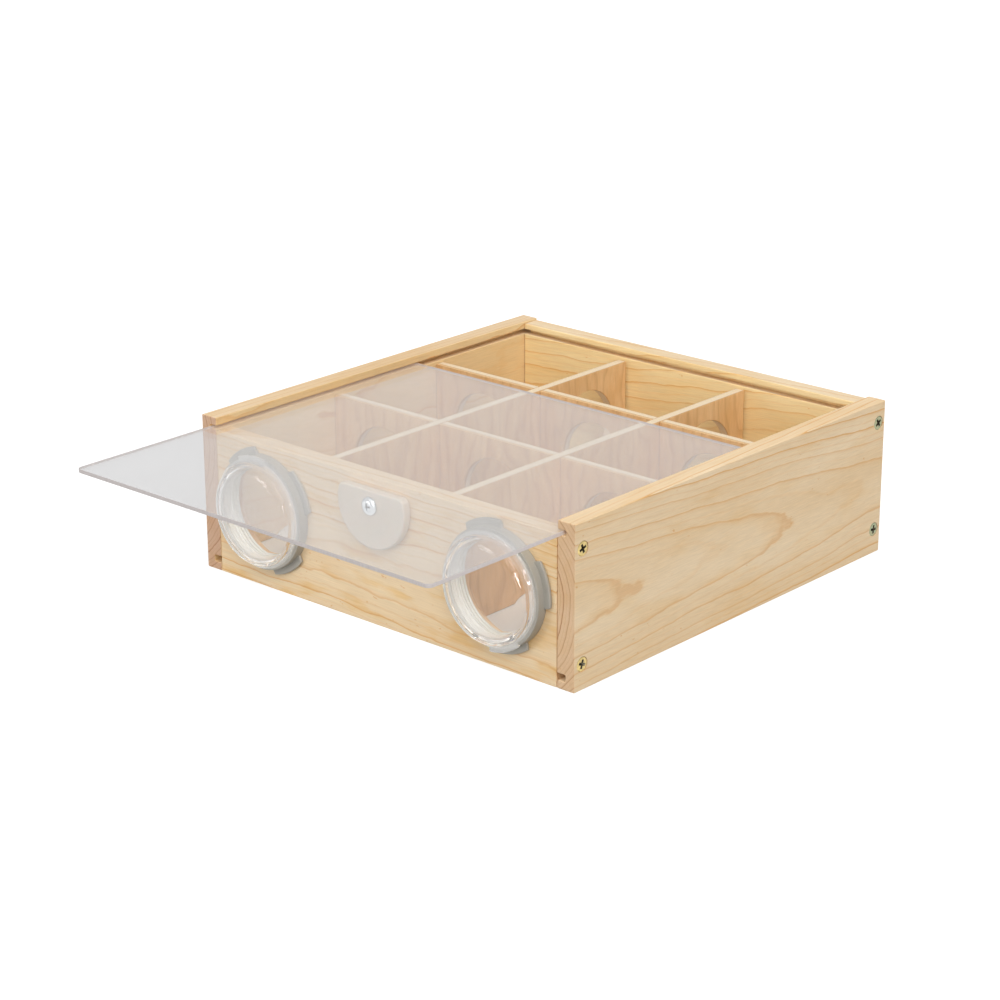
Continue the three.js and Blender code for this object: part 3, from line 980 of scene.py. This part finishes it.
def side_screw(node, side, turn):
    """A countersunk wood screw with its head just below the board's face."""
    low, high = span(node)
    centre = middle(node)
    face = Vector((side * max(abs(low.x), abs(high.x)), centre.y, centre.z))
    head = (high.z - low.z) / 2
    sunk, neck, tip = SIDE_SCREW["sunk"], SIDE_SCREW["neck"], SIDE_SCREW["tip"]
    thread = threaded(SIDE_SCREW["thread"], SIDE_SCREW["root"], tip + 26, tip + 4, SIDE_SCREW["pitch"])
    profile = [
        (0, sunk), (head * 0.80, sunk), (head * 0.94, sunk - 0.05), (head, sunk - 0.22), (head, -0.45),
        (neck, -2.95), (neck, tip + 26), *thread, (1.2, tip + 3.5), (0.3, tip + 0.2), (0, tip),
    ]
    axis = screw_axis(side)
    screw = lathe(f"{node}_fine", profile, face, axis, SMALL_ROUND)
    carve(screw, cross_recess(face + axis * sunk, axis, **SIDE_RECESS, turn=turn))
    return shade(screw, 32)


def latch_plate():
    """A thick half-round plate with well rounded edges, on its pivot screw."""
    low, high = span("latch_plate")
    centre_z = LATCH_CENTRE.z
    radius = (high.x - low.x) / 2
    flat = high.z - centre_z
    start = math.asin(flat / radius)
    points = []
    steps = 60
    for i in range(steps + 1):
        angle = math.pi - start + (math.pi + 2 * start) * i / steps
        points.append((radius * math.cos(angle), centre_z + radius * math.sin(angle)))
    outline = round_two_corners(points, LATCH["corner"])
    plate = prism("latch_plate_fine", outline, "Y", low.y, high.y)
    soften(plate, LATCH["edge"], 6, 50)
    front = low.y - FRONT_Y
    mouth, bore = LATCH["mouth"], LATCH["bore"]
    hole = [(0, front - 1), (mouth, front - 1), (bore, front + 0.4), (bore, 1), (0, 1)]
    carve(plate, lathe("bore", hole, (LATCH_CENTRE.x, FRONT_Y, centre_z), Y, LATCH_ROUND))
    return shade(plate, 40, weighted=True)


def round_two_corners(points, radius):
    """Rounds the two corners where the arc's ends meet the flat edge."""
    a, b = Vector(points[0]), Vector(points[-1])
    edge = (b - a).normalized()
    keep = [p for p in points if (Vector(p) - a).length > radius and (Vector(p) - b).length > radius]
    result = []
    for corner, along, neighbour in ((b, -edge, Vector(keep[-1])), (a, edge, Vector(keep[0]))):
        flat_point = corner + along * radius
        curve = []
        for i in range(9):
            t = i / 8
            curve.append(neighbour.lerp(corner, t).lerp(corner.lerp(flat_point, t), t))
        if corner is a:
            curve.reverse()
        result.append([tuple(p) for p in curve])
    return keep + result[0] + result[1]


def latch_screw():
    """A pan-head screw whose head stands on the latch plate."""
    low, high = span("latch_screw")
    centre = Vector((LATCH_CENTRE.x, low.y, LATCH_CENTRE.z))
    head = (high.x - low.x) / 2
    seat = span("latch_plate")[0].y - low.y - 0.3
    profile = [(0, 0)]
    for i in range(1, 11):
        angle = math.pi / 2 * i / 10
        profile.append((head * math.sin(angle) ** 0.85, seat * (1 - math.cos(angle)) ** 1.15 * 0.93))
    length = high.y - low.y
    neck, neck_end = LATCH_SCREW["neck"], seat + LATCH_SCREW["neck_length"]
    thread = threaded(
        LATCH_SCREW["thread"], LATCH_SCREW["root"], neck_end, length - 3, LATCH_SCREW["pitch"],
    )
    profile += [
        (head, seat), (neck, seat), (neck, neck_end), *thread,
        (1.3, length - 2.6), (0.3, length - 0.2), (0, length),
    ]
    screw = lathe("latch_screw_fine", profile, centre, Y, LATCH_ROUND)
    carve(screw, cross_recess(centre + Y * 0.1, -Y, **LATCH_RECESS))
    return shade(screw, 32)


# The object


def box_point(x, behind_front, z):
    """A point given from the box's centre line, front face and bottom."""
    return (x, FRONT_Y + behind_front, z)


def board_woods():
    """Each board's own pine: its pith line, its rings and its tints, with painted light on the inner faces
    of the left and back boards.
    """
    return {
        "left": pine(
            "pine_left", box_point(-213, 0, 82), box_point(-207, 300, 76), 4.6, 3.1,
            # The +X tint paints warmer bounced light on the left board's inner face.
            tints_and_painted_light=[(None, (0.94, 0.89, 0.84)), (X, (1.02, 1.02, 0.90))], end=(0.72, 0.59, 0.62),
        ),
        "right": pine(
            "pine_right", box_point(97, 0, 50), box_point(86, 300, 46), 4.9, 12.4,
            offset=0.583, contrast=1.25, wave=0.65, tints_and_painted_light=[(None, (1.01, 0.985, 0.96))],
        ),
        "front": pine(
            "pine_front", box_point(-150, 52, 34), box_point(150, 49, 28), 4.4, 7.7,
            contrast=1.3, wave=0.9, resin=1.0, tints_and_painted_light=[(None, (0.99, 0.965, 0.925))],
        ),
        "back": pine(
            "pine_back", box_point(-150, 240, 30), box_point(150, 247, 52), 7.5, 21.3,
            # The -Y tint paints brighter, warmer light on the back board's inner face.
            contrast=0.8, wave=1.4, tints_and_painted_light=[(-Y, (1.12, 1.12, 0.92))],
        ),
    }


def build_boards():
    woods = board_woods()
    for name, side in SIDES:
        stand_in(side_board(name, side), f"side_board_{name}", woods[name])
    stand_in(end_board("front_board", True), "front_board", woods["front"])
    stand_in(end_board("back_board", False), "back_board", woods["back"])
    stand_in(floor_panel(), "floor_panel", floor_board())


def build_lid():
    lid = stand_in(sliding_lid(), "sliding_lid", clear_acrylic())
    mark(lid, sawn_edge(), on_lid_edge)
    lets_light_in(lid)
    return lid


def build_dividers():
    for seed, node in enumerate(LONG_DIVIDERS):
        low, high = span(node)
        sheet = plywood(f"plywood_{node}", X, middle(node), high.x - low.x, (0.4, 0.4), 2.3 + 5 * seed)
        stand_in(long_divider(node), node, sheet)
    for seed, node in enumerate(CROSS_DIVIDERS):
        low, high = span(node)
        sheet = plywood(f"plywood_{node}", Y, middle(node), high.y - low.y, (2.2, 0.4), 14.6 + 7 * seed)
        stand_in(cross_divider(node), node, sheet)


def build_ports():
    grey = moulded("grey_plastic", (0.39, 0.365, 0.315), (0.36, 0.335, 0.285), 0.42)
    milky = moulded(
        "sleeve_plastic", (0.78, 0.765, 0.71), (0.74, 0.72, 0.655), 0.2,
        IOR=1.49, Subsurface_Weight=0.3, Subsurface_Radius=(0.004, 0.004, 0.003),
    )
    clear, cloudy = clear_plastic(), milky_rim()
    for name, _ in SIDES:
        stand_in(port_sleeve(name), f"port_sleeve_{name}", milky)
        stand_in(port_ring(name), f"port_ring_{name}", grey)
        cap = stand_in(port_cap(name), f"port_cap_{name}", clear)
        mark(cap, cloudy, behind_dome)
        lets_light_in(cap)


def build_latch_and_screws():
    frosted = moulded(
        "latch_plastic", (0.74, 0.635, 0.51), (0.71, 0.605, 0.485), 0.32,
        Subsurface_Weight=0.4, Subsurface_Radius=(0.006, 0.004, 0.003),
    )
    stand_in(latch_plate(), "latch_plate", frosted)
    bright = plated("bright_zinc", (0.72, 0.75, 0.77), (0.60, 0.635, 0.66), 0.2)
    # The recess material paints shade: its dark metal stands in for the shadow inside each screw's cross.
    recess = recess_painted_shade()
    screw = stand_in(latch_screw(), "latch_screw", bright)
    mark(screw, recess, in_recess("latch_screw", -Y, 0.5))

    yellow = plated("yellow_zinc", (0.72, 0.56, 0.24), (0.52, 0.40, 0.17), 0.28)
    green = plated("green_zinc", (0.31, 0.37, 0.24), (0.40, 0.36, 0.21), 0.3)
    for name, side in SIDES:
        for i, node in enumerate(screw_nodes(name)):
            zinc = yellow if "front" in node else green
            screw = stand_in(side_screw(node, side, 0.35 + 0.9 * i), node, zinc)
            # Painted shade in the side screws' cross recesses.
            mark(screw, recess, in_recess(node, screw_axis(side), 0.16))


def lets_light_in(piece):
    """Clear pieces don't shade what they cover."""
    piece.visible_shadow = False
    piece.visible_diffuse = False


# Stage, light and camera

FLOOR_GLOW = {"seen": 0.66, "through_clear": 0.28}
SKY = {"above": 0.60, "below": 0.30, "seen": 1.02}
LIGHT_DISTANCE = 1.7


def studio_floor():
    """A wide pale floor that glows a little, and less where it is seen through a clear piece."""
    bm = bmesh.new()
    reach = 9000
    corners = [(-reach, -reach), (reach, -reach), (reach, reach), (-reach, reach)]
    bm.faces.new([bm.verts.new((x, y, -0.05)) for x, y in corners])
    floor = finish_mesh("studio_floor", bm)
    s = Shader("studio_floor")
    through = s.add("ShaderNodeLightPath").outputs["Is Transmission Ray"]
    floor.data.materials.append(s.surface(
        Base_Color=(0.5, 0.5, 0.5),
        Roughness=0.9,
        Specular_IOR_Level=0.0,
        Emission_Color=(1.0, 1.0, 1.0),
        Emission_Strength=s.rescale(through, 0.0, 1.0, FLOOR_GLOW["seen"], FLOOR_GLOW["through_clear"]),
    ))
    floor.visible_diffuse = False


def heading(azimuth, elevation):
    """A unit vector away from the box. Azimuth 0 is in front, 90 to the right."""
    a, e = math.radians(azimuth), math.radians(elevation)
    return Vector((math.sin(a) * math.cos(e), -math.cos(a) * math.cos(e), math.sin(e)))


def softbox(name, azimuth, elevation, width, height, radiance, tilt=0.0, mirror_only=False):
    """A rectangular soft light that looks at the box. Mirror only: it shows in gloss and nowhere else."""
    away = heading(azimuth, elevation)
    light = bpy.data.lights.new(name, "AREA")
    light.shape = "RECTANGLE"
    light.size = width
    light.size_y = height
    light.energy = radiance * math.pi * width * height
    lamp = placed(name, light)
    lamp.location = away * LIGHT_DISTANCE + Vector((0, 0, 0.05))
    lamp.rotation_mode = "QUATERNION"
    facing = (-away).to_track_quat("-Z", "Y")
    lamp.rotation_quaternion = facing @ Quaternion((0, 0, 1), math.radians(tilt))
    lamp.visible_diffuse = not mirror_only
    lamp.visible_transmission = not mirror_only
    return lamp


def leave_out(lamp, piece):
    """The lamp doesn't light this piece, so that a flat sheet doesn't mirror it as a blank patch."""
    left_out = bpy.data.collections.new(f"{lamp.name}_leaves_out")
    left_out.objects.link(piece)
    lamp.light_linking.receiver_collection = left_out
    left_out.collection_objects[0].light_linking.link_state = "EXCLUDE"


def studio_sky():
    """White where it is seen; as a light it is brighter above the horizon than below."""
    s = Shader("white_studio", bpy.data.worlds)
    height = s.vector("DOT_PRODUCT", s.coordinates.outputs["Generated"], tuple(Z))
    path = s.add("ShaderNodeLightPath").outputs
    strength = s.add("ShaderNodeMix", s.math("MAXIMUM", path["Is Camera Ray"], path["Is Transmission Ray"]))
    s.feed(strength.inputs["A"], s.rescale(height, -0.15, 0.15, SKY["below"], SKY["above"]))
    s.feed(strength.inputs["B"], SKY["seen"])
    background = s.add("ShaderNodeBackground", (1.0, 1.0, 1.0, 1), strength.outputs["Result"])
    output = s.add("ShaderNodeOutputWorld")
    s.tree.links.new(background.outputs[0], output.inputs["Surface"])
    bpy.context.scene.world = s.owner


def fill_light(azimuth, elevation, strength, softness):
    """One very soft light from afar, left out of mirror reflections."""
    light = bpy.data.lights.new("fill", "SUN")
    light.energy = strength
    light.angle = math.radians(softness)
    lamp = placed("fill", light)
    lamp.rotation_euler = heading(azimuth, elevation).to_track_quat("Z", "Y").to_euler()
    lamp.visible_glossy = False


def lighting(lid):
    """Sky and fill light the box. The softboxes are what its clear and polished pieces mirror."""
    studio_sky()
    fill_light(56, 50, 1.68, 50)
    softbox("key", -6, 45, 0.2, 0.2, 9.0)
    front_lights = (
        softbox("right", 29, 15, 0.2, 0.42, 7.5),
        softbox("left", -30, 6, 0.34, 0.5, 8.0),
        softbox("strip", 11, 29, 1.0, 0.2, 30.0, tilt=-38, mirror_only=True),
        softbox("rim", 24, 21, 1.3, 0.16, 30.0, tilt=-54, mirror_only=True),
    )
    for lamp in front_lights:
        leave_out(lamp, lid)


CAMERA = {
    "place": (1.01349, -1.12555, 0.59414),
    "azimuth": 0.7285235,
    "elevation": 0.3430323,
    "roll": -0.0031004,
    "lens": 94.84,
}


def camera():
    """The view from the front right, a little above the box."""
    a, e, roll = CAMERA["azimuth"], CAMERA["elevation"], CAMERA["roll"]
    ahead = Vector((-math.sin(a) * math.cos(e), math.cos(a) * math.cos(e), -math.sin(e)))
    right = ahead.cross(Z).normalized()
    up = right.cross(ahead)
    right, up = (
        right * math.cos(roll) + up * math.sin(roll),
        up * math.cos(roll) - right * math.sin(roll),
    )
    data = bpy.data.cameras.new("camera")
    data.lens = CAMERA["lens"]
    data.sensor_width = 36
    data.clip_start = 0.05
    data.clip_end = 100
    view = placed("camera", data)
    turn = Matrix((right, up, -ahead)).transposed().to_4x4()
    view.matrix_world = Matrix.Translation(CAMERA["place"]) @ turn
    bpy.context.scene.camera = view


camera()
build_boards()
lid = build_lid()
build_dividers()
build_ports()
build_latch_and_screws()
studio_floor()
lighting(lid)
bpy.context.scene.view_settings.view_transform = "Standard"
bpy.context.scene.view_settings.look = "None"
